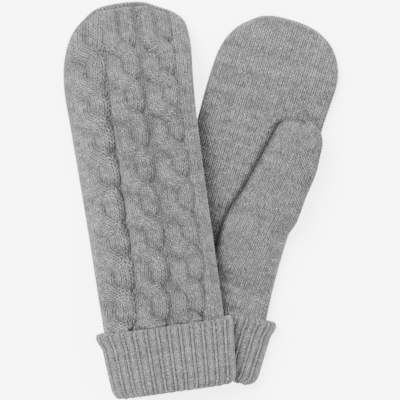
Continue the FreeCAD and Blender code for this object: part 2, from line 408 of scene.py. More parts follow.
    def thumb_outer(self, y, wide, inset):
        """Reach of the thumb's outer side: the hand's edge along the gusset, then its own."""
        c, s = math.cos(self.lean), math.sin(self.lean)
        along_hand = self.root[1] + y * c
        hand_edge = self.half_width(along_hand) - EDGE_FLUSH + self.sides(1.0, along_hand)
        hand_edge = (hand_edge - self.root[0] - y * s) / c - self.root_shift(y)
        grown = 1 - ease(*LEAVES_EDGE, y)
        bow = THUMB_BOW * np.exp(-((y - BOW_PLACE) / BOW_RUN) ** 2)
        return wide + (np.maximum(hand_edge - inset, 0) - wide) * grown + bow, grown

    def palm_skin(self, x, y):
        """Height of the palm's face over the mitten's own underside."""
        c = np.clip(np.abs(x) / np.maximum(self.half_width(y), 1.0), 0, 1) ** (1 / ROUNDNESS)
        rise = self.half_thick(y) * np.sqrt(np.clip(1 - c * c, 0, 1)) ** ROUNDNESS
        return self.middle(y) - self.thick / 2 + rise

    def thumb(self, angle, y, inset=0.0):
        """Point of the thumb, with y along it from the middle of its root. Its gusset grows out
        of the palm: a fold on the inner side, flush with the hand's edge on the outer side."""
        t = np.clip((y - self.thumb_length + THUMB_TIP_RUN) / THUMB_TIP_RUN, 0, 1)
        closing = (1 - t**THUMB_SQUARENESS) ** TIP_THINNING
        rise = through(y, *THUMB_RISE)
        half = np.minimum(self.thumb_thick / 2, (rise + ROOT_BURIED) / 2)
        up = np.maximum(half * closing - inset, 0)
        wide = np.maximum(self.thumb_half(y) - inset, 0)
        outer, grown = self.thumb_outer(y, wide, inset)
        u, lift = power(np.cos(angle), ROUNDNESS), power(np.sin(angle), ROUNDNESS)
        x = self.root_shift(y) + u * np.where(u > 0, outer, wide)
        c, s = math.cos(self.lean), math.sin(self.lean)
        px = self.root[0] + x * c + y * s
        py = self.root[1] - x * s + y * c
        z = rise - half + up * lift
        palm = self.palm_skin(px, py) - self.thick / 2
        shoulder = np.maximum(rise, 0) * np.maximum(lift, 0) ** SHOULDER_POWER
        side = palm + np.where(lift > 0, shoulder, SHOULDER_DEPTH * lift)
        z = z + (side - z) * grown * ease(*SHOULDER_RUN, u)
        if self.palm_up:
            return self.place(px, py, self.thick + z)
        return self.place(px, py, self.height(px, np.minimum(py, THUMB_LEVEL)) - z)

    def on_thumb(self, x, y):
        """Thumb coordinates of a place of the hand's pattern."""
        c, s = math.cos(self.lean), math.sin(self.lean)
        dx, dy = x - self.root[0], y - self.root[1]
        return dx * c - dy * s, dx * s + dy * c


# ---------------------------------------------------------------- knitted sheets

ROWS_PER_STITCH = 4
V_RISE = 1.15            # a leg of the V climbs this many courses
STATIONS = 70
OPEN_TABLE = 160
EDGE_CALM = 2.5          # the stitches' relief fades out this close to the outline
TABLE_PRESS = 2.2        # cloth lower than this over the table is pressed flatter
ANGLE_STEP = 2e-3        # between the points that a normal is measured from
RUN_STEP = 0.3


def unit(vectors):
    return vectors / np.maximum(np.linalg.norm(vectors, axis=-1, keepdims=True), 1e-12)


class Sheet:
    """One side of a flat tube of cloth, with distances measured along its skin."""

    def __init__(self, form, width, upper, low, high, tip_run, handed=1):
        self.form, self.width, self.sign = form, width, 1 if upper else -1
        self.low, self.high, self.handed = low, high, handed
        self.body_end = high - tip_run
        self.stations = low + (high - low) * (1 - (1 - np.linspace(0, 1, STATIONS)) ** 1.7)
        self.tables, self.reaches = [], []
        levels = np.linspace(0, 1, OPEN_TABLE)
        for hand in (1, -1):
            turn = np.linspace(math.pi / 2, 0 if hand > 0 else math.pi, 96)
            v, t = np.meshgrid(self.stations, turn, indexing="ij")
            points = form(self.sign * t, v) / MM
            runs = np.linalg.norm(np.diff(points, axis=1), axis=2)
            arc = np.concatenate([np.zeros((len(v), 1)), np.cumsum(runs, axis=1)], axis=1)
            share = arc / np.maximum(arc[:, -1:], 1e-9)
            self.tables.append(np.stack([np.interp(levels, row, turn) for row in share]))
            self.reaches.append(arc[:, -1])
        self.widest = max(r.max() for r in self.reaches)

    def reach(self, v, hand):
        """Distance along the skin from the middle to the side."""
        return np.interp(v, self.stations, self.reaches[0 if hand > 0 else 1])

    def side_reach(self, a, v):
        return np.where(a >= 0, self.reach(v, 1), self.reach(v, -1))

    def limit(self, a):
        """How far along a column at distance a runs before it meets the rounded tip."""
        ends = []
        for reach in self.reaches:
            tip = self.stations >= self.body_end
            ends.append(np.interp(np.abs(a), reach[tip][::-1], self.stations[tip][::-1]))
        return np.where(a >= 0, ends[0], ends[1])

    def margin(self, a, v):
        """Distance from the outline."""
        return np.minimum(self.side_reach(a, v) - np.abs(a), self.limit(a) - v)

    def angle(self, a, v):
        """Angle round the section at a distance a along the skin, held at the sides."""
        position = np.interp(v, self.stations, np.arange(len(self.stations)))
        i = np.clip(position.astype(int), 0, len(self.stations) - 2)
        fi = position - i
        share = np.abs(a) / np.maximum(self.side_reach(a, v), 1e-6)
        part = np.clip(share, 0, 1) * (OPEN_TABLE - 1)
        j = np.clip(part.astype(int), 0, OPEN_TABLE - 2)
        fj = part - j
        found = []
        for table in self.tables:
            low = (1 - fj) * table[i, j] + fj * table[i, j + 1]
            high = (1 - fj) * table[i + 1, j] + fj * table[i + 1, j + 1]
            found.append((1 - fi) * low + fi * high)
        return self.sign * np.where(a >= 0, found[0], found[1])

    def skin(self, a, v):
        """Points and outward normals."""
        v = np.clip(v, self.low, self.high)
        angle = self.angle(a, v)
        held = np.clip(v, self.low + RUN_STEP, self.high - 2 * RUN_STEP)
        turned = self.form(angle + ANGLE_STEP, held) - self.form(angle - ANGLE_STEP, held)
        moved = self.form(angle, held + RUN_STEP) - self.form(angle, held - RUN_STEP)
        return self.form(angle, v), -self.handed * unit(np.cross(turned, moved))

    def across(self, x, v):
        """Distance along the skin of a place x of the pattern, at one v."""
        samples = np.linspace(-self.reach(v, -1), self.reach(v, 1), 81) * 0.999
        angle = self.angle(samples, np.full(81, v))
        return float(np.interp(x, self.width(v) * power(np.cos(angle), ROUNDNESS), samples))


SLIVER = 1e-10           # square metres
WELD = 1e-6
PLAIN_SHARE = 0.6        # painted-light value of cloth without stitches
LEG_LOW = 0.3            # height of a leg of the V between two stitches
LEG_RIDGE = 0.7          # its ridge rises this much more
GAP_LOW = 0.05           # the same for the gap beside it
GAP_RIDGE = 0.35
FOOT_LIFT = 0.10         # the V's foot lies a little higher than the gap between two V's
STITCH_UNEVEN = 0.18     # how much one stitch differs from the next
ROW_UNEVEN = 0.13        # and one row from the next


def grid_faces(grid):
    """Quads of a grid that face the way its normals do, without slivers and dropped rows."""
    points = grid["points"]
    index = np.arange(points.shape[0] * points.shape[1]).reshape(points.shape[:2])
    corners = index[:-1, :-1], index[:-1, 1:], index[1:, 1:], index[1:, :-1]
    quads = np.stack(corners, axis=-1).reshape(-1, 4)
    flat = points.reshape(-1, 3)
    face_normals = np.cross(flat[quads[:, 2]] - flat[quads[:, 0]],
                            flat[quads[:, 3]] - flat[quads[:, 1]])
    good = np.linalg.norm(face_normals, axis=1) > SLIVER
    if "keep" in grid:
        good &= grid["keep"].reshape(-1)[quads].any(axis=1)
    agreement = np.sum(face_normals * grid["normals"].reshape(-1, 3)[quads[:, 0]], axis=1)
    if agreement[good].sum() < 0:
        quads = quads[:, ::-1]
    return quads[good]


def make_mesh(name, grids):
    """One piece from grids, each a dict: points [row, column], normals and uv, and if need be keep
    (which points are inside the cloth) and share (painted light, mostly from the height within the
    stitch: shade painted into the colour's gaps and folds, highlight painted onto its crests)."""
    points, uvs, painted_light, faces, start = [], [], [], [], 0
    for grid in grids:
        rows, columns = grid["points"].shape[:2]
        faces.append(grid_faces(grid) + start)
        points.append(grid["points"].reshape(-1, 3))
        uvs.append(grid["uv"].reshape(-1, 2))
        painted_light.append(grid.get("share", np.full((rows, columns), PLAIN_SHARE)).reshape(-1))
        start += rows * columns
    points, uvs = np.concatenate(points), np.concatenate(uvs)
    painted_light, faces = np.concatenate(painted_light), np.concatenate(faces)
    points[:, 2] = settle(points[:, 2])
    used, faces = np.unique(faces, return_inverse=True)
    faces = faces.reshape(-1, 4)
    mesh = bpy.data.meshes.new(name)
    mesh.from_pydata(points[used], [], faces)
    layer = mesh.uv_layers.new(name="Stitches")
    layer.data.foreach_set("uv", uvs[used][faces.ravel()].astype(np.float32).ravel())
    # Painted light: this per-point value darkens the colour in gaps and folds and lightens the
    # crests.
    attribute = mesh.attributes.new("Painted_Light", "FLOAT", "POINT")
    attribute.data.foreach_set("value", painted_light[used].astype(np.float32))
    mesh.polygons.foreach_set("use_smooth", np.ones(len(faces), bool))
    weld(mesh)
    obj = bpy.data.objects.new(name, mesh)
    bpy.context.scene.collection.objects.link(obj)
    return obj


def weld(mesh):
    """Closes the seams and the poles of a mesh."""
    shape = bmesh.new()
    shape.from_mesh(mesh)
    bmesh.ops.remove_doubles(shape, verts=shape.verts, dist=WELD)
    bmesh.ops.dissolve_degenerate(shape, edges=shape.edges, dist=WELD)
    shape.to_mesh(mesh)
    shape.free()


def settle(z):
    """Presses what would sink into the table softly flat against it. z is in metres."""
    soft = TABLE_PRESS * MM
    return np.where(z < soft, soft * np.exp((np.minimum(z, soft) - soft) / soft), z)


def undulation(x, y, seed):
    """Slow, uneven waves of limp cloth, about -1 to 1."""
    wave = np.sin(x / 17.0 + seed) * np.cos(y / 23.0 - 1.7 * seed)
    wave = wave + 0.6 * np.sin((x + 0.6 * y) / 11.0 + 2.1 * seed)
    return (wave + 0.4 * np.cos((1.3 * x - y) / 7.5 + 0.7 * seed)) / 2.0


def loose(a, b, seed):
    """How much one stitch differs from the next, -1 to 1, from its column and row."""
    mixed = np.sin(np.floor(a) * 12.9898 + np.floor(b) * 78.233 + seed) * 43758.5453
    return 2 * (mixed - np.floor(mixed)) - 1


def stitch_share(columns, steps, seed):
    """Height within the stitch, 0 in a gap to 1 on a leg, for numbered columns and row steps.
    It also sets the painted shade in the gaps and the painted highlight on the legs.
    """
    leg = (columns % 2 == 1).astype(float)
    ridge = 0.5 - 0.5 * np.cos(2 * np.pi * steps / ROWS_PER_STITCH)
    gap = GAP_LOW + GAP_RIDGE * ridge
    share = leg * (LEG_LOW + LEG_RIDGE * ridge) + (1 - leg) * gap
    share = share + FOOT_LIFT * (columns % 4 == 2)
    row = steps / ROWS_PER_STITCH + 0.1
    uneven = STITCH_UNEVEN * loose(columns / 4 + 0.1, row, seed)
    return share * (1 + uneven + ROW_UNEVEN * loose(0.1, row, seed + 1))


def lattice(width, low, high, wale, course, seed):
    """Stitch grid: across, along and share. Its rows zigzag along the V's of the stitches."""
    columns = np.arange(max(int(round(width / wale)), 1) * 4 + 1)
    steps = np.arange(int(round((high - low) / course)) * ROWS_PER_STITCH + 1)
    across = (columns / (len(columns) - 1) - 0.5) * width
    rise = np.abs(columns % 4 - 2) / 2 - 0.5
    along = low + (high - low) * steps / (len(steps) - 1)
    a = np.broadcast_to(across, (len(steps), len(columns)))
    b = along[:, None] + V_RISE * course * rise[None, :]
    return a, b, stitch_share(columns[None, :], steps[:, None], seed)


def nothing(a, b):
    return 0.0


def full(a, b, margin):
    return 1.0


def plain_grid(sheet, relief, wave, seed, swell=nothing, shade=full):
    """Plain knit over one side of a tube. wave is the height of its unevenness, swell(a, b) adds
    slow shape, and shade(a, b, margin) scales down its stitches' colour values: painted shade."""
    gauge = measures("knit_gauge")
    course = gauge.course
    a, b, share = lattice(2 * sheet.widest, sheet.low - course, sheet.high + course,
                          gauge.wale, course, seed)
    body = np.clip(b, sheet.low, sheet.body_end)
    a = a * np.where(a >= 0, sheet.reach(body, 1), sheet.reach(body, -1)) / sheet.widest
    limit = sheet.limit(a)
    keep = b < limit
    b = np.clip(b, sheet.low, limit)
    margin = sheet.margin(a, b)
    edge = ease(0.0, EDGE_CALM, margin)
    points, normals = sheet.skin(a, b)
    raised = relief * (share - 0.5) + wave * undulation(a, b, seed) + swell(a, b)
    raised = edge * raised
    return {
        "points": points + normals * (raised * MM)[..., None],
        "normals": normals,
        "uv": np.stack([a, b], axis=-1) * MM,
        "keep": keep,
        # Painted shade: these values darken the colour in the stitches' gaps and in shaded places.
        "share": share * shade(a, b, margin),
    }


# ---------------------------------------------------------------- cables

CABLES = (-1, 0, 1)
CABLE_LEAN = -4.5        # the cables' middles swing out by this much at the cuff
LEAN_RUN = (-5.0, 48.0)
UNDER_DIP = 2.6
OVER_LIFT = 1.1
GROUND = -1.9            # the purl ground between the cables lies this far below the plain knit
STRAND_EDGE = -0.8       # a strand's edges lie this far below the ground
STRAND_STITCHES = 5      # across one strand
STRAND_RELIEF = 1.15     # of its stitches, to the plain knit's
CROSSING_SHARPNESS = 0.27    # less makes the strands cross more steeply
LAST_CROSSING = 7        # above this crossing the strands run straight
FLAT_TIP = 0.35          # share of their height that the strands lose towards the tip
TIP_FLATTENING = (198.0, 215.0)
GROUND_REACH = 12.0      # from a cable's middle to the ground's side
GROUND_SIDE = (-1.5, 2.0)
# painted shade: how much darker the sunken ground and the slit between the cables are coloured
GROUND_SHADE = 0.22
SLIT_DEPTH = 1.2         # of the gap between the outer and the middle cable
SLIT_WIDTH = 1.3
SLIT_OPENS = (48, 62)
SLIT_CLOSES = (150, 166)
STRAND_CROWN = 2.6       # more makes a strand flatter on top
STRAND_FADE = (-1, 6)    # a strand sinks into the cloth this close to the outline
STRAND_MERGES = (-0.5, 2.5)       # and here above the cuff
STRAND_EDGE_SHADE = 0.25     # painted shade: brightness of a strand's edges, to its crown's
UNDER_SHADE = 0.5        # painted shade: how much darker a strand is coloured under its twin
PATTERN_APART = (40.0, 15.0)      # the fibre pattern's step from cable to cable and to the twin


def cable_x(number, y):
    """Place across of the middle of a cable."""
    gauge = measures("knit_gauge")
    lean = CABLE_LEAN * (1 - ease(*LEAN_RUN, y))
    return gauge.cable_offset + number * gauge.cable_spacing + lean


def cable_line(sheet, number):
    """The same, as a distance along the skin, tabled over the hand's length."""
    places = np.linspace(sheet.low, sheet.high - 8, 60)
    return places, np.array([sheet.across(float(cable_x(number, y)), y) for y in places])


def cable_stretch(sheet, number):
    """How much wider than flat the cloth is where it slopes down under the cable."""
    reach, y = 8.0, 110.0
    middle = float(cable_x(number, y))
    return (sheet.across(middle + reach, y) - sheet.across(middle - reach, y)) / (2 * reach)


def crossing_phase(y):
    gauge = measures("knit_gauge")
    return np.minimum((y - gauge.cable_first) / gauge.cable_pitch, LAST_CROSSING + 0.5)


def strand_path(sheet, number, hand):
    """One strand's way along the hand: y, place across, slope and length so far."""
    gauge = measures("knit_gauge")
    y = np.linspace(sheet.low, sheet.high, 1400)
    wave = np.sin(np.pi * crossing_phase(y)) * hand
    swing = wave / np.sqrt(wave**2 + CROSSING_SHARPNESS * (1 - wave**2))
    reach = gauge.strand_swing * cable_stretch(sheet, number)
    line = np.interp(y, *cable_line(sheet, number)) + reach * swing
    run = np.concatenate([[0], np.cumsum(np.hypot(np.diff(line), np.diff(y)))])
    return y, line, np.gradient(line, y), run


def strand_grid(sheet, number, hand, seed, mirror):
    """One strand of a cable, over and under its twin in turn. hand is 1 or -1."""
    gauge = measures("knit_gauge")
    path_y, line, slope, run = strand_path(sheet, number, hand)
    width = 2 * gauge.strand_half * cable_stretch(sheet, number)
    across, along, share = lattice(width, -gauge.course, run[-1] + gauge.course,
                                   width / STRAND_STITCHES, gauge.course, seed)
    along = np.clip(along, 0, run[-1])
    y = np.interp(along, run, path_y)
    tilt = np.interp(along, run, slope)
    size = np.hypot(1, tilt)
    a = np.interp(along, run, line) + across / size
    b = y - across * tilt / size
    keep = b < sheet.limit(a)
    b = np.clip(b, sheet.low, sheet.limit(a))
    over = -np.cos(np.pi * crossing_phase(y)) * hand * mirror
    cross = np.abs(over) ** 3
    lift = np.where(over > 0, OVER_LIFT, -UNDER_DIP) * cross
    dome = np.clip(1 - np.abs(across / (width / 2)) ** STRAND_CROWN, 0, 1) ** 0.5
    inner = ease(*STRAND_FADE, sheet.margin(a, b)) * (1 - FLAT_TIP * ease(*TIP_FLATTENING, y))
    inner = inner * ease(*STRAND_MERGES, b)
    raised = GROUND + STRAND_EDGE + dome * gauge.strand_high * inner + lift * inner
    raised = raised + gauge.relief * STRAND_RELIEF * (share - 0.5) * dome
    points, normals = sheet.skin(a, b)
    apart = PATTERN_APART[0] * (number + 2) + PATTERN_APART[1] * hand
    # Painted light: the strand's crown is coloured lighter, its edges and its part under the twin
    # darker.
    crown_light = STRAND_EDGE_SHADE + (1 - STRAND_EDGE_SHADE) * dome
    return {
        "points": points + normals * (raised * MM)[..., None],
        "normals": normals,
        "uv": np.stack([across + apart, along], axis=-1) * MM,
        "keep": keep,
        "share": share * crown_light * np.where(over > 0, 1, 1 - UNDER_SHADE * cross),
    }


def cable_ground(sheet):
    """Height of the ground that the cables lie on, relative to the plain knit, and the painted
    shade of its colour, darker the lower it lies.
    """
    lines = [cable_line(sheet, number) for number in CABLES]

    def swell(a, b):
        left, middle, right = (np.interp(b, *line) for line in lines)
        zone = ease(*GROUND_SIDE, a - left + GROUND_REACH)
        zone = zone * ease(*GROUND_SIDE, right + GROUND_REACH - a)
        slit = np.exp(-((a - (left + middle) / 2) / SLIT_WIDTH) ** 2)
        slit = slit * ease(*SLIT_OPENS, b) * (1 - ease(*SLIT_CLOSES, b))
        return GROUND * zone - SLIT_DEPTH * slit

    def shade(a, b, margin):
        return 1 - GROUND_SHADE * np.clip(swell(a, b) / GROUND, 0, 2.2)

    return swell, shade


# ---------------------------------------------------------------- rib

RIB_COLUMNS = 12
RIB_LINE = 1.15          # height of the knit line
RIB_BAND = 0.6           # height of the convex band beside it
RIB_GROOVE = 0.5         # depth on both sides of the line
RIB_RELIEF = 0.75        # of the rib's stitches, to the plain knit's
FOLD_RADIUS = 1.25
FOLD_SHORT = {"right": 0.7, "left": 2.2}
FOLD_SCALLOP = 1.5
TURNUP_WALL = 2.3
TURNUP_LIFT = 0.6        # the free edge stands off the leg
LEG_WALL = 1.4
LEG_DEPTH = 4.6          # below the turn-up's skin
LEG_TOP = 0.3
LEG_ROWS = 47
RIB_SHADE = 0.27         # painted light: brightness of the rib, its stitches' part (darker gaps) and its relief's part (higher is lighter)
RIB_STITCH_SHADE = 0.42
RIB_HEIGHT_SHADE = 0.30
RIB_MIDDLE = 0.4         # height of the relief's middle


def loop_angles(form, y, count):
    """Angles that part a closed section into equal lengths, from the thumb side round."""
    turn = np.linspace(0, 2 * math.pi, 1441)
    points = form(turn, np.full(turn.shape, y)) / MM
    run = np.concatenate([[0], np.cumsum(np.linalg.norm(np.diff(points, axis=0), axis=1))])
    return np.interp(np.arange(count) / count * run[-1], run, turn), run[-1]


def rib_height(columns):
    """Relief of the rib: a thin line of knit stitches beside a broad, convex, textured band."""
    d = columns % RIB_COLUMNS
    line = np.where(d == 0, 1.0, 0.0) + np.where((d == 1) | (d == RIB_COLUMNS - 1), 0.3, 0.0)
    band = np.sin(np.pi * np.clip((d - 1) / (RIB_COLUMNS - 2), 0, 1))
    groove = np.where((d == 2) | (d == 10), 1.0, 0.0)
    return RIB_LINE * line + RIB_BAND * band - RIB_GROOVE * groove, line


def rib_rows(start, end, course):
    return np.linspace(start, end, int(round(abs(end - start) / course)) * ROWS_PER_STITCH + 1)


def half_round(place, radius, wall, start, count):
    """Rows round an edge between a wall's two faces, from start degrees to minus start."""
    turns = np.radians(np.linspace(start, -start, count)[1:-1])
    return [(place + radius * math.cos(t), wall / 2 - wall / 2 * math.sin(t)) for t in turns]


def profile_turnup(mitten, course):
    """Rows of the turn-up from its hidden inner edge over the free edge, down to the fold and
    back up inside: height along the cuff and depth below its skin."""
    wall, top = TURNUP_WALL, 1.0
    fold = -mitten.cuff_length + FOLD_RADIUS + FOLD_SHORT[mitten.side]
    rows = [(top, wall)] + half_round(top, 0.7, wall, -90, 7)
    rows += [(y, 0.0) for y in rib_rows(top, fold, course)]
    rows += half_round(fold, -FOLD_RADIUS, wall, 90, 9)
    rows += [(y, wall) for y in rib_rows(fold, top, course)]
    return rows


def rib_places(mitten, rows, columns, line, free, seed):
    """Heights of the rib's points along the cuff: V's, a scalloped fold and an uneven edge."""
    course = measures("knit_gauge").rib_course
    heights, depths = rows[:, :1], rows[:, 1:]
    rise = np.abs(columns % 4 - 2) / 2 - 0.5
    down = np.gradient(rows[:, 0])
    straight = np.clip(np.abs(down) / (course / ROWS_PER_STITCH), 0, 1)[:, None]
    y = heights + 0.8 * V_RISE * course * rise[None, :] * (depths < 0.5) * straight
    fold = 1 - ease(-mitten.cuff_length, -mitten.cuff_length + 3.5, heights)
    y = y + FOLD_SCALLOP * fold * line[None, :]
    return y + 0.5 * free * undulation(columns[None, :] * 0.9, 0 * y, seed)


def form_normals(form, turn, y, inset):
    around = form(turn + ANGLE_STEP, y, inset) - form(turn - ANGLE_STEP, y, inset)
    along = form(turn, y + RUN_STEP, inset) - form(turn, y - RUN_STEP, inset)
    return -unit(np.cross(around, along))


def rib_grid(mitten, form, profile, ribs, seed, lift=0.0):
    """A closed band of rib along a profile of (height along the cuff, depth) rows."""
    gauge = measures("knit_gauge")
    count = ribs * RIB_COLUMNS
    angles, _ = loop_angles(form, -mitten.cuff_length / 2, count)
    columns = np.arange(count)
    height, line = rib_height(columns)
    rows = np.array(profile)
    steps = np.arange(len(rows))[:, None]
    free = ease(-6, 1.5, rows[:, :1])
    y = rib_places(mitten, rows, columns, line, free, seed)
    inset = rows[:, 1:] + 0 * y
    turn = np.broadcast_to(angles[None, :], y.shape)
    normals = form_normals(form, turn, y, inset)
    outside = rows[:, 1:] <= TURNUP_WALL / 2 + 0.05
    share = stitch_share(columns[None, :], steps, seed)
    raised = height[None, :] * (1 - 0.5 * free) + gauge.relief * RIB_RELIEF * (share - 0.5)
    raised = (raised + lift * free) * outside
    points = form(turn, y, inset) + normals * (raised * MM)[..., None]
    facing = normals * np.where(outside, 1.0, -1.0)[..., None]
    # Painted light: the rib's colour is darker in the gaps between stitches and lighter the higher
    # the relief stands.
    shade = RIB_SHADE + RIB_STITCH_SHADE * share
    shade = shade + RIB_HEIGHT_SHADE * (height[None, :] - RIB_MIDDLE)
    run = np.concatenate([[0], np.cumsum(np.abs(np.diff(rows[:, 0])) + 0.05)])
    around = np.arange(count + 1) * gauge.rib / RIB_COLUMNS
    return {
        "points": closed_loop(points),
        "normals": closed_loop(facing),
        "uv": np.stack(np.broadcast_arrays(around[None, :], run[:, None]), axis=-1) * MM,
        "share": closed_loop(shade),
    }


def closed_loop(values):
    """Values per column, with the first column once more at the end."""
    return np.concatenate([values, values[:, :1]], axis=1)


def profile_leg(mitten):
    """Rows of the leg inside the turn-up: down its outside and up its inside, closed."""
    heights = np.linspace(LEG_TOP, -mitten.cuff_length + 2.0, LEG_ROWS)
    outer = [(y, 0.0) for y in heights]
    inner = [(y, LEG_WALL) for y in heights[::-1]]
    return outer + inner + outer[:1]


# ---------------------------------------------------------------- seams and linings

LINK_STEP = 0.55         # between two rings of a seam's roll
LINK_LENGTH = 2.2        # of one linked loop
SEAM_RADIUS = 0.9
SEAM_DEPTH = 0.9
SIDE_UNEVEN = 0.75       # the side seams' loops stand out more than the others'
CUFF_SEAM_PLACE = 0.6
THUMB_SEAM_RADIUS = 0.6
THUMB_OPENING = 13.0     # radius of the opening between palm and thumb
FLEECE_ENDS = {"hand": (10.0, 5.0), "thumb": (4.0, 4.0)}    # clear of the root and of the tip
FLEECE_FACES = {"hand": (4.3, 5.1), "thumb": (2.4, 3.1)}    # depths below the skin


def even(path, step, closed=False):
    """Points spaced evenly along a path, in millimetres."""
    line = np.concatenate([path, path[:1]]) if closed else path
    run = np.concatenate([[0], np.cumsum(np.linalg.norm(np.diff(line, axis=0), axis=1))])
    count = max(int(run[-1] / step), 4)
    where = np.linspace(0, run[-1], count, endpoint=not closed)
    return np.stack([np.interp(where, run, line[:, k]) for k in range(3)], axis=1)


def roll_grid(path, radius, closed=False, uneven=0.2):
    """A thin roll of linked loops along a path, in millimetres."""
    line = even(path, LINK_STEP, closed)
    if closed:
        tangent = unit(np.roll(line, -1, axis=0) - np.roll(line, 1, axis=0))
    else:
        tangent = unit(np.gradient(line, axis=0))
    side = unit(np.cross(tangent, np.array([0, 0, 1.0])))
    up = np.cross(side, tangent)
    ring = np.linspace(0, 2 * math.pi, 11)
    run = np.arange(len(line)) * LINK_STEP
    twist = 0.5 + 0.5 * np.sin(ring[None, :] * 2 - 2 * np.pi * run[:, None] / LINK_LENGTH)
    size = radius * (0.85 + uneven * twist)
    if not closed:
        size[0] = size[-1] = 0.0
    out = side[:, None] * np.cos(ring)[None, :, None] + up[:, None] * np.sin(ring)[None, :, None]
    grid = {
        "points": (line[:, None] + out * size[..., None]) * MM,
        "normals": out,
        "uv": np.stack(np.broadcast_arrays(ring[None, :] * radius, run[:, None]), axis=-1) * MM,
        # Painted shade: the roll's colour is darker in the dips between its linked loops and
        # lighter on their tops.
        "share": 0.2 + 0.8 * twist,
    }
    if closed:
        grid = {name: np.concatenate([values, values[:1]]) for name, values in grid.items()}
    return grid


def outline(form, low, high):
    """The side of a flat tube, up one side, round the tip and down the other."""
    rise = low + (high - low) * (1 - (1 - np.linspace(0, 1, 260)) ** 2.4)
    up = form(np.zeros(rise.shape), rise, SEAM_DEPTH)
    down = form(np.full(rise.shape, math.pi), rise[::-1], SEAM_DEPTH)
    return np.concatenate([up, down]) / MM


def shell_grid(form, low, high, outer, inner):
    """A smooth closed skin, open at low: up its outside and back down its inside."""
    turn = np.linspace(0, 2 * math.pi, 97)
    rise = low + (high - low) * (1 - (1 - np.linspace(0, 1, 64)) ** 2.0)
    rows, facing = [], []
    for depth, heights, sense in ((outer, rise, 1.0), (inner, rise[::-1], -1.0)):
        for y in heights:
            rows.append(form(turn, np.full(turn.shape, y), depth))
            facing.append(sense)
    rows.append(rows[0])
    facing.append(1.0)
    points = np.stack(rows)
    centre = points.mean(axis=1, keepdims=True)
    normals = unit(points - centre) * np.array(facing)[:, None, None]
    run = np.concatenate([rise, rise[::-1], rise[:1]])
    uv = np.stack(np.broadcast_arrays(turn[None, :] * 30.0, run[:, None]), axis=-1) * MM
    return {"points": points, "normals": normals, "uv": uv}


# ---------------------------------------------------------------- materials

def new_group(name, inputs, outputs):
    """An empty shader node group. Its inputs are (name, socket type, default), and its outputs
    (name, socket type)."""
    group = bpy.data.node_groups.new(name, "ShaderNodeTree")
    for label, kind, default in inputs:
        socket = group.interface.new_socket(label, in_out="INPUT", socket_type=kind)
        if default is not None:
            socket.default_value = default
    for label, kind in outputs:
        group.interface.new_socket(label, in_out="OUTPUT", socket_type=kind)
    return group, group.nodes.new("NodeGroupInput"), group.nodes.new("NodeGroupOutput")


def noise_node(tree, vector, scale, detail=2.0, roughness=0.5):
    node = tree.nodes.new("ShaderNodeTexNoise")
    node.inputs["Scale"].default_value = scale
    node.inputs["Detail"].default_value = detail
    node.inputs["Roughness"].default_value = roughness
    tree.links.new(vector, node.inputs["Vector"])
    return node.outputs["Fac"]


def range_node(tree, value, low, high, to_low=0.0, to_high=1.0):
    node = tree.nodes.new("ShaderNodeMapRange")
    node.interpolation_type = "SMOOTHSTEP"
    for label, number in zip(("From Min", "From Max", "To Min", "To Max"),
                             (low, high, to_low, to_high)):
        node.inputs[label].default_value = number
    tree.links.new(value, node.inputs["Value"])
    return node.outputs["Result"]


def scaled_vector(tree, vector, factors):
    node = tree.nodes.new("ShaderNodeVectorMath")
    node.operation = "MULTIPLY"
    node.inputs[1].default_value = factors
    tree.links.new(vector, node.inputs[0])
    return node.outputs["Vector"]


def heather_group():
    """Masks of the pale and the dark fibres of a heather yarn, and the dye's slow drift."""
    group, given, made = new_group(
        "Heather Blend",
        [("Vector", "NodeSocketVector", None), ("Fleck Size", "NodeSocketFloat", 0.0011)],
        [("Pale", "NodeSocketFloat"), ("Dark", "NodeSocketFloat"), ("Drift", "NodeSocketFloat")],
    )
    divide = group.nodes.new("ShaderNodeVectorMath")
    divide.operation = "DIVIDE"
    combine = group.nodes.new("ShaderNodeCombineXYZ")
    for axis in ("X", "Y", "Z"):
        group.links.new(given.outputs["Fleck Size"], combine.inputs[axis])
    group.links.new(given.outputs["Vector"], divide.inputs[0])
    group.links.new(combine.outputs["Vector"], divide.inputs[1])
    flecks = divide.outputs["Vector"]
    pale = noise_node(group, flecks, 1.0, 3.0, 0.65)
    shifted = scaled_vector(group, flecks, (1.31, 0.83, 1.17))
    dark = noise_node(group, shifted, 1.0, 3.0, 0.65)
    drift = noise_node(group, flecks, 0.11, 3.0, 0.6)
    group.links.new(range_node(group, pale, 0.50, 0.66), made.inputs["Pale"])
    group.links.new(range_node(group, dark, 0.50, 0.66), made.inputs["Dark"])
    group.links.new(range_node(group, drift, 0.30, 0.70), made.inputs["Drift"])
    return group


def fibre_group():
    """Height of the fibres lying along the yarn, from stitch coordinates."""
    group, given, made = new_group(
        "Yarn Fibres",
        [("Stitches", "NodeSocketVector", None), ("Vector", "NodeSocketVector", None)],
        [("Height", "NodeSocketFloat")],
    )
    along = scaled_vector(group, given.outputs["Stitches"], (5200.0, 1500.0, 1.0))
    lengthwise = noise_node(group, along, 1.0, 2.0, 0.6)
    fuzzy = noise_node(group, given.outputs["Vector"], 2600.0, 3.0, 0.7)
    add = group.nodes.new("ShaderNodeMath")
    add.operation = "ADD"
    group.links.new(lengthwise, add.inputs[0])
    group.links.new(fuzzy, add.inputs[1])
    group.links.new(add.outputs["Value"], made.inputs["Height"])
    return group


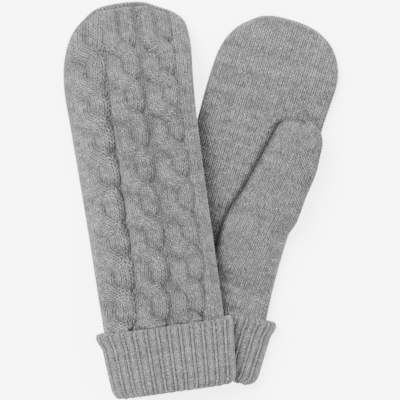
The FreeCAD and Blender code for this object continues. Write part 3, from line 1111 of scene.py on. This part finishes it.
def mix_colours(tree, factor, low, high, blend="MIX"):
    node = tree.nodes.new("ShaderNodeMix")
    node.data_type = "RGBA"
    node.blend_type = blend
    for socket, value in (("Factor", factor), ("A", low), ("B", high)):
        target = next(s for s in node.inputs if s.name == socket
                      and (s.type == "RGBA" if socket != "Factor" else s.type == "VALUE"))
        if isinstance(value, bpy.types.NodeSocket):
            tree.links.new(value, target)
        elif socket == "Factor":
            target.default_value = value
        else:
            target.default_value = (*value, 1.0)
    return next(s for s in node.outputs if s.type == "RGBA")


def group_node(tree, name, build):
    node = tree.nodes.new("ShaderNodeGroup")
    node.node_tree = bpy.data.node_groups.get(name) or build()
    return node


DRIFT = (0.90, 1.10)     # of the dye over a hand's breadth
# Painted light: values from 0 to this map from the painted groove shade to the painted crest
# highlight.
FULL_SHARE = 1.15
CREST_HIGHLIGHT = 1.6              # painted highlight: brightness of a stitch's crest
YARN_GROOVE_SHADE = 0.10       # painted shade: brightness of the gaps between stitches
YARN_SHEEN = 0.15
# painted shade: brightness at the low end of the fleece's painted-light scale
FLEECE_GROOVE_SHADE = 0.9
FLEECE_SHEEN = 0.5
FLEECE_DARK = 0.8        # of its colour, in the dark fibres
CLOTH_ROUGHNESS = 0.95
CLOTH_SPECULAR = 0.15
SHEEN_ROUGHNESS = 0.5
FIBRE_BUMP = 0.7
FIBRE_HEIGHT = 0.00025   # metres
FLOOR_ROUGHNESS = 0.9
FLOOR_GLOW = 3.2


def cloth_material(name, middle, pale, dark, groove, sheen):
    """Wool cloth: heather colour with painted shade in the gaps between its stitches and painted
    highlight on their crests, and a soft sheen.
    """
    found = bpy.data.materials.get(name)
    if found:
        return found
    material = bpy.data.materials.new(name)
    material.use_nodes = True
    material.diffuse_color = (*middle, 1.0)
    tree = material.node_tree
    shader = tree.nodes["Principled BSDF"]
    place = tree.nodes.new("ShaderNodeTexCoord")
    stitches = tree.nodes.new("ShaderNodeUVMap")
    stitches.uv_map = "Stitches"
    share = tree.nodes.new("ShaderNodeAttribute")
    share.attribute_name = "Painted_Light"
    heather = group_node(tree, "Heather Blend", heather_group)
    tree.links.new(place.outputs["Object"], heather.inputs["Vector"])
    fibres = group_node(tree, "Yarn Fibres", fibre_group)
    tree.links.new(place.outputs["Object"], fibres.inputs["Vector"])
    tree.links.new(stitches.outputs["UV"], fibres.inputs["Stitches"])
    colour = mix_colours(tree, heather.outputs["Pale"], middle, pale)
    colour = mix_colours(tree, heather.outputs["Dark"], colour, dark)
    drift = tree.nodes.new("ShaderNodeMapRange")
    drift.inputs["To Min"].default_value = DRIFT[0]
    drift.inputs["To Max"].default_value = DRIFT[1]
    tree.links.new(heather.outputs["Drift"], drift.inputs["Value"])
    colour = mix_colours(tree, 1.0, colour, drift.outputs["Result"], "MULTIPLY")
    # Painted light: the per-point value darkens the gaps and shaded folds and lightens the crests.
    gap = range_node(tree, share.outputs["Fac"], 0.0, FULL_SHARE, groove, CREST_HIGHLIGHT)
    colour = mix_colours(tree, 1.0, colour, gap, "MULTIPLY")
    tree.links.new(colour, shader.inputs["Base Color"])
    bump = tree.nodes.new("ShaderNodeBump")
    bump.inputs["Strength"].default_value = FIBRE_BUMP
    bump.inputs["Distance"].default_value = FIBRE_HEIGHT
    tree.links.new(fibres.outputs["Height"], bump.inputs["Height"])
    tree.links.new(bump.outputs["Normal"], shader.inputs["Normal"])
    shader.inputs["Roughness"].default_value = CLOTH_ROUGHNESS
    shader.inputs["Specular IOR Level"].default_value = CLOTH_SPECULAR
    shader.inputs["Sheen Weight"].default_value = sheen
    shader.inputs["Sheen Roughness"].default_value = SHEEN_ROUGHNESS
    return material


def yarn_material():
    look = bpy.context.scene.yarn_look
    return cloth_material("heather_wool", tuple(look.yarn), tuple(look.pale), tuple(look.dark),
                          YARN_GROOVE_SHADE, YARN_SHEEN)


def lining_material():
    look = bpy.context.scene.yarn_look
    tone = tuple(look.lining)
    dark = tuple(c * FLEECE_DARK for c in tone)
    return cloth_material("brushed_fleece", tone, tone, dark, FLEECE_GROOVE_SHADE, FLEECE_SHEEN)


def floor_material():
    material = bpy.data.materials.new("pale_floor")
    material.use_nodes = True
    shader = material.node_tree.nodes["Principled BSDF"]
    shader.inputs["Base Color"].default_value = (*bpy.context.scene.yarn_look.floor, 1.0)
    shader.inputs["Roughness"].default_value = FLOOR_ROUGHNESS
    shader.inputs["Emission Color"].default_value = (1, 1, 1, 1)
    shader.inputs["Emission Strength"].default_value = FLOOR_GLOW
    return material


def dress(obj, material, slot, *nodes, body=None):
    """Gives a piece its material, hides the CAD nodes it stands for and attaches it to its body.
    The slot is not used.
    """
    obj.data.materials.clear()
    obj.data.materials.append(material)
    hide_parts(*nodes)
    if body:
        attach(obj, body)
    return obj


# ---------------------------------------------------------------- operators

PALM_WAVE = 0.45         # height of the cloth's slow unevenness
BACK_WAVE = 0.3
THUMB_WAVE = 0.3
FOLD_SHADE = 0.75        # painted shade: how much darker the palm is coloured in the fold beside the thumb
FOLD_SHADE_WIDTH = (3.2, 8.0)     # out over the palm and in under the thumb
FOLD_SHADE_BEGINS = (-62, -35)
FOLD_SHADE_ENDS = (62, 72)
FOLD_LAST = 70.0         # the fold keeps its place from here on


def hand_sheet(mitten, upper):
    return Sheet(mitten.hand, mitten.half_width, upper, 0.0, mitten.length, mitten.tip_run)


def palm_shade(mitten):
    """Painted shade: the palm's colour darkens along the fold beside the thumb, where the thumb
    shades it.
    """

    def shade(a, b, margin):
        x, y = mitten.on_thumb(a, b)
        inner = mitten.root_shift(y) - mitten.thumb_half(np.clip(y, ROOT_START, FOLD_LAST))
        near = np.exp(-((x - inner) / np.where(x < inner, *FOLD_SHADE_WIDTH)) ** 2)
        reach = ease(*FOLD_SHADE_BEGINS, y) * (1 - ease(*FOLD_SHADE_ENDS, y))
        return 1 - FOLD_SHADE * near * reach

    return shade


class MITTENS_OT_knit_palms(bpy.types.Operator):
    """Knits the plain palm of each mitten"""

    bl_idname = "mittens.knit_palms"
    bl_label = "Knit Palms"
    bl_options = {"REGISTER", "UNDO"}

    def execute(self, context):
        relief = measures("knit_gauge").relief
        for seed, side in enumerate(SIDES, 1):
            mitten = Mitten(side)
            sheet = hand_sheet(mitten, mitten.palm_up)
            grid = plain_grid(sheet, relief, PALM_WAVE, seed, shade=palm_shade(mitten))
            palm = make_mesh(side + "_palm", [grid])
            dress(palm, yarn_material(), "plain_knit", side + "_palm_panel",
                  body=side + "_mitten")
        return {"FINISHED"}


class MITTENS_OT_knit_backs(bpy.types.Operator):
    """Knits the back of each mitten with its three cables"""

    bl_idname = "mittens.knit_backs"
    bl_label = "Knit Cabled Backs"
    bl_options = {"REGISTER", "UNDO"}

    def execute(self, context):
        relief = measures("knit_gauge").relief
        for seed, side in enumerate(SIDES, 3):
            mitten = Mitten(side)
            sheet = hand_sheet(mitten, not mitten.palm_up)
            ground = plain_grid(sheet, relief, BACK_WAVE, seed, *cable_ground(sheet))
            back = make_mesh(side + "_back", [ground])
            dress(back, yarn_material(), "cable_knit", side + "_back_panel",
                  body=side + "_mitten")
            mirror = 1 if side == "left" else -1
            grids = [strand_grid(sheet, number, hand, seed + number, mirror)
                     for number in CABLES for hand in (1, -1)]
            cables = make_mesh(side + "_cables", grids)
            dress(cables, yarn_material(), "cable_knit", side + "_back_panel",
                  body=side + "_mitten")
        return {"FINISHED"}


CREASE_DEPTH = 1.5
CREASE_WIDTH = 1.6
CREASE_PLACE = -9.0      # along the thumb
CREASE_SLANT = 0.1
CREASE_RUN = (4.0, 12.0)
EDGE_SHADE = 0.8         # painted shade of the thumb's inner edge
EDGE_SHADE_WIDTH = 5.0
THUMB_RELIEF = 1.25      # of its stitches, to the palm's
BLEND_REACH = 14.0       # two points of the thumb are taken this far on both sides of its root


def thumb_shade(a, b, margin):
    """Painted shade: the thumb's inner edge is coloured darker where it lies in the fold against
    the palm.
    """
    fold = (1 - ease(0.0, EDGE_SHADE_WIDTH, margin)) * (a < 0)
    return 1 - EDGE_SHADE * fold


def thumb_crease(a, b):
    """A short crease where the thumb's outer side bends up out of the hand."""
    away = (b - CREASE_PLACE + CREASE_SLANT * a) / CREASE_WIDTH
    return -CREASE_DEPTH * ease(*CREASE_RUN, a) * np.exp(-away**2)


class MITTENS_OT_knit_thumbs(bpy.types.Operator):
    """Knits both thumbs, which grow out of the palms"""

    bl_idname = "mittens.knit_thumbs"
    bl_label = "Knit Thumbs"
    bl_options = {"REGISTER", "UNDO"}

    def execute(self, context):
        relief = measures("knit_gauge").relief * THUMB_RELIEF
        for seed, side in enumerate(SIDES, 5):
            mitten = Mitten(side)
            handed = 1 if mitten.palm_up else -1
            grids = []
            for upper in (True, False):
                sheet = Sheet(mitten.thumb, mitten.thumb_half, upper, ROOT_START,
                              mitten.thumb_length, THUMB_TIP_RUN, handed)
                grids.append(plain_grid(sheet, relief, THUMB_WAVE, seed, thumb_crease,
                                        thumb_shade))
            thumb = make_mesh(side + "_thumb_knit", grids)
            dress(thumb, yarn_material(), "plain_knit", side + "_thumb")
            start = mitten.thumb(math.pi / 2, np.array(-BLEND_REACH))
            end = mitten.thumb(math.pi / 2, np.array(BLEND_REACH))
            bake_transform(thumb)
        return {"FINISHED"}


class MITTENS_OT_knit_cuffs(bpy.types.Operator):
    """Knits the ribbed leg and the turned-up band of each cuff"""

    bl_idname = "mittens.knit_cuffs"
    bl_label = "Knit Cuffs"
    bl_options = {"REGISTER", "UNDO"}

    def execute(self, context):
        gauge = measures("knit_gauge")
        for seed, side in enumerate(SIDES, 7):
            mitten = Mitten(side)
            _, around = loop_angles(mitten.cuff, -mitten.cuff_length / 2, 4)
            ribs = int(round(around / gauge.rib))
            profile = profile_turnup(mitten, gauge.rib_course)
            grid = rib_grid(mitten, mitten.cuff, profile, ribs, seed, TURNUP_LIFT)
            turnup = make_mesh(side + "_turned_cuff", [grid])
            dress(turnup, yarn_material(), "rib_knit", side + "_cuff_turnup",
                  body=side + "_turnup")

            def leg_form(angle, y, inset=0.0):
                return mitten.cuff(angle, y, inset + LEG_DEPTH)

            grid = rib_grid(mitten, leg_form, profile_leg(mitten), ribs, seed)
            leg = make_mesh(side + "_leg", [grid])
            dress(leg, yarn_material(), "rib_knit", side + "_cuff_leg", body=side + "_mitten")
        return {"FINISHED"}


class MITTENS_OT_link_seams(bpy.types.Operator):
    """Links the seams at the sides, round the thumb's root and over the cuff"""

    bl_idname = "mittens.link_seams"
    bl_label = "Link Seams"
    bl_options = {"REGISTER", "UNDO"}

    def execute(self, context):
        turn = np.linspace(0, 2 * math.pi, 241)[:-1]
        for side in SIDES:
            mitten = Mitten(side)
            path = outline(mitten.hand, 0.5, mitten.length)
            place = np.full(turn.shape, CUFF_SEAM_PLACE)
            ring = mitten.hand(turn, place, CUFF_SEAM_PLACE) / MM
            x = mitten.root[0] + THUMB_OPENING * np.cos(turn)
            y = mitten.root[1] + THUMB_OPENING * np.sin(turn)
            if mitten.palm_up:
                opening = mitten.place(x, y, np.full(turn.shape, mitten.thick)) / MM
            else:
                opening = mitten.lay(x, y, np.zeros(turn.shape)) / MM
            rolls = (("side", roll_grid(path, SEAM_RADIUS, uneven=SIDE_UNEVEN)),
                     ("cuff", roll_grid(ring, SEAM_RADIUS, closed=True)),
                     ("thumb", roll_grid(opening, THUMB_SEAM_RADIUS, closed=True)))
            for name, grid in rolls:
                seam = make_mesh(f"{side}_{name}_linking", [grid])
                dress(seam, yarn_material(), "linking_yarn", f"{side}_{name}_seam",
                      body=side + "_mitten")
        return {"FINISHED"}


class MITTENS_OT_sew_linings(bpy.types.Operator):
    """Sews the fleece linings of the hands and thumbs"""

    bl_idname = "mittens.sew_linings"
    bl_label = "Sew Linings"
    bl_options = {"REGISTER", "UNDO"}

    def execute(self, context):
        for side in SIDES:
            mitten = Mitten(side)
            for part, form, length, body in (
                    ("hand", mitten.hand, mitten.length, side + "_mitten"),
                    ("thumb", mitten.thumb, mitten.thumb_length, side + "_thumb")):
                low, short = FLEECE_ENDS[part]
                grid = shell_grid(form, low, length - short, *FLEECE_FACES[part])
                lining = make_mesh(f"{side}_{part}_fleece", [grid])
                dress(lining, lining_material(), "fleece_lining", f"{side}_{part}_lining",
                      body=body)
        return {"FINISHED"}


FLOOR_SIZE = 6.0
WINDOW_PLACE = (-0.7, 0.7, 1.7)
WINDOW_SIZE = 0.9
WINDOW_POWER = 105.0
STUDIO_STRENGTH = 2.7
CAMERA_HEIGHT = 0.9
CAMERA_LENS = 112.5      # on a 36 mm sensor


class MITTENS_OT_set_stage(bpy.types.Operator):
    """Lays a pale floor and sets the light and the camera"""

    bl_idname = "mittens.set_stage"
    bl_label = "Set Stage"
    bl_options = {"REGISTER", "UNDO"}

    def execute(self, context):
        bpy.ops.mesh.primitive_plane_add(size=FLOOR_SIZE, location=(0, 0, 0))
        floor = context.object
        floor.name = "floor"
        floor.data.materials.append(floor_material())
        bpy.ops.object.light_add(type="AREA", location=WINDOW_PLACE)
        light = context.object
        light.name = "window_light"
        light.data.size = WINDOW_SIZE
        light.data.energy = WINDOW_POWER
        light.rotation_euler = (-light.location).to_track_quat("-Z", "Y").to_euler()
        world = bpy.data.worlds.new("studio")
        world.use_nodes = True
        background = world.node_tree.nodes["Background"]
        background.inputs["Color"].default_value = (1, 1, 1, 1)
        background.inputs["Strength"].default_value = STUDIO_STRENGTH
        context.scene.world = world
        bpy.ops.object.camera_add(location=(0, 0, CAMERA_HEIGHT), rotation=(0, 0, 0))
        camera = context.object
        camera.name = "camera"
        camera.data.sensor_width = 36.0
        camera.data.lens = CAMERA_LENS
        camera.data.clip_start = 0.01
        context.scene.camera = camera
        return {"FINISHED"}


class MITTENS_PT_panel(bpy.types.Panel):
    """Knits the mittens piece by piece"""

    bl_idname = "MITTENS_PT_panel"
    bl_label = "Knitted Mittens"
    bl_space_type = "VIEW_3D"
    bl_region_type = "UI"
    bl_category = "Mittens"

    def draw(self, context):
        for title, settings in (("Sizes", context.scene.mitten_sizes),
                                ("Gauge", context.scene.knit_gauge),
                                ("Look", context.scene.yarn_look)):
            box = self.layout.box()
            box.label(text=title)
            for name in settings.__annotations__:
                box.prop(settings, name)
        for operator in OPERATORS:
            self.layout.operator(operator.bl_idname)


OPERATORS = (
    MITTENS_OT_knit_palms,
    MITTENS_OT_knit_backs,
    MITTENS_OT_knit_thumbs,
    MITTENS_OT_knit_cuffs,
    MITTENS_OT_link_seams,
    MITTENS_OT_sew_linings,
    MITTENS_OT_set_stage,
)
SETTINGS = (("mitten_sizes", MittenSizes), ("knit_gauge", KnitGauge), ("yarn_look", YarnLook))


def register():
    for name, group in SETTINGS:
        bpy.utils.register_class(group)
        setattr(bpy.types.Scene, name, PointerProperty(type=group))
    for part in (*OPERATORS, MITTENS_PT_panel):
        bpy.utils.register_class(part)


def unregister():
    for part in (MITTENS_PT_panel, *reversed(OPERATORS)):
        bpy.utils.unregister_class(part)
    for name, group in reversed(SETTINGS):
        delattr(bpy.types.Scene, name)
        bpy.utils.unregister_class(group)


def main():
    register()
    bpy.ops.object.select_all(action="DESELECT")
    bpy.ops.mittens.knit_palms()
    bpy.ops.mittens.knit_backs()
    bpy.ops.mittens.knit_thumbs()
    bpy.ops.mittens.knit_cuffs()
    bpy.ops.mittens.link_seams()
    bpy.ops.mittens.sew_linings()
    bpy.ops.mittens.set_stage()


if __name__ == "__main__":
    main()
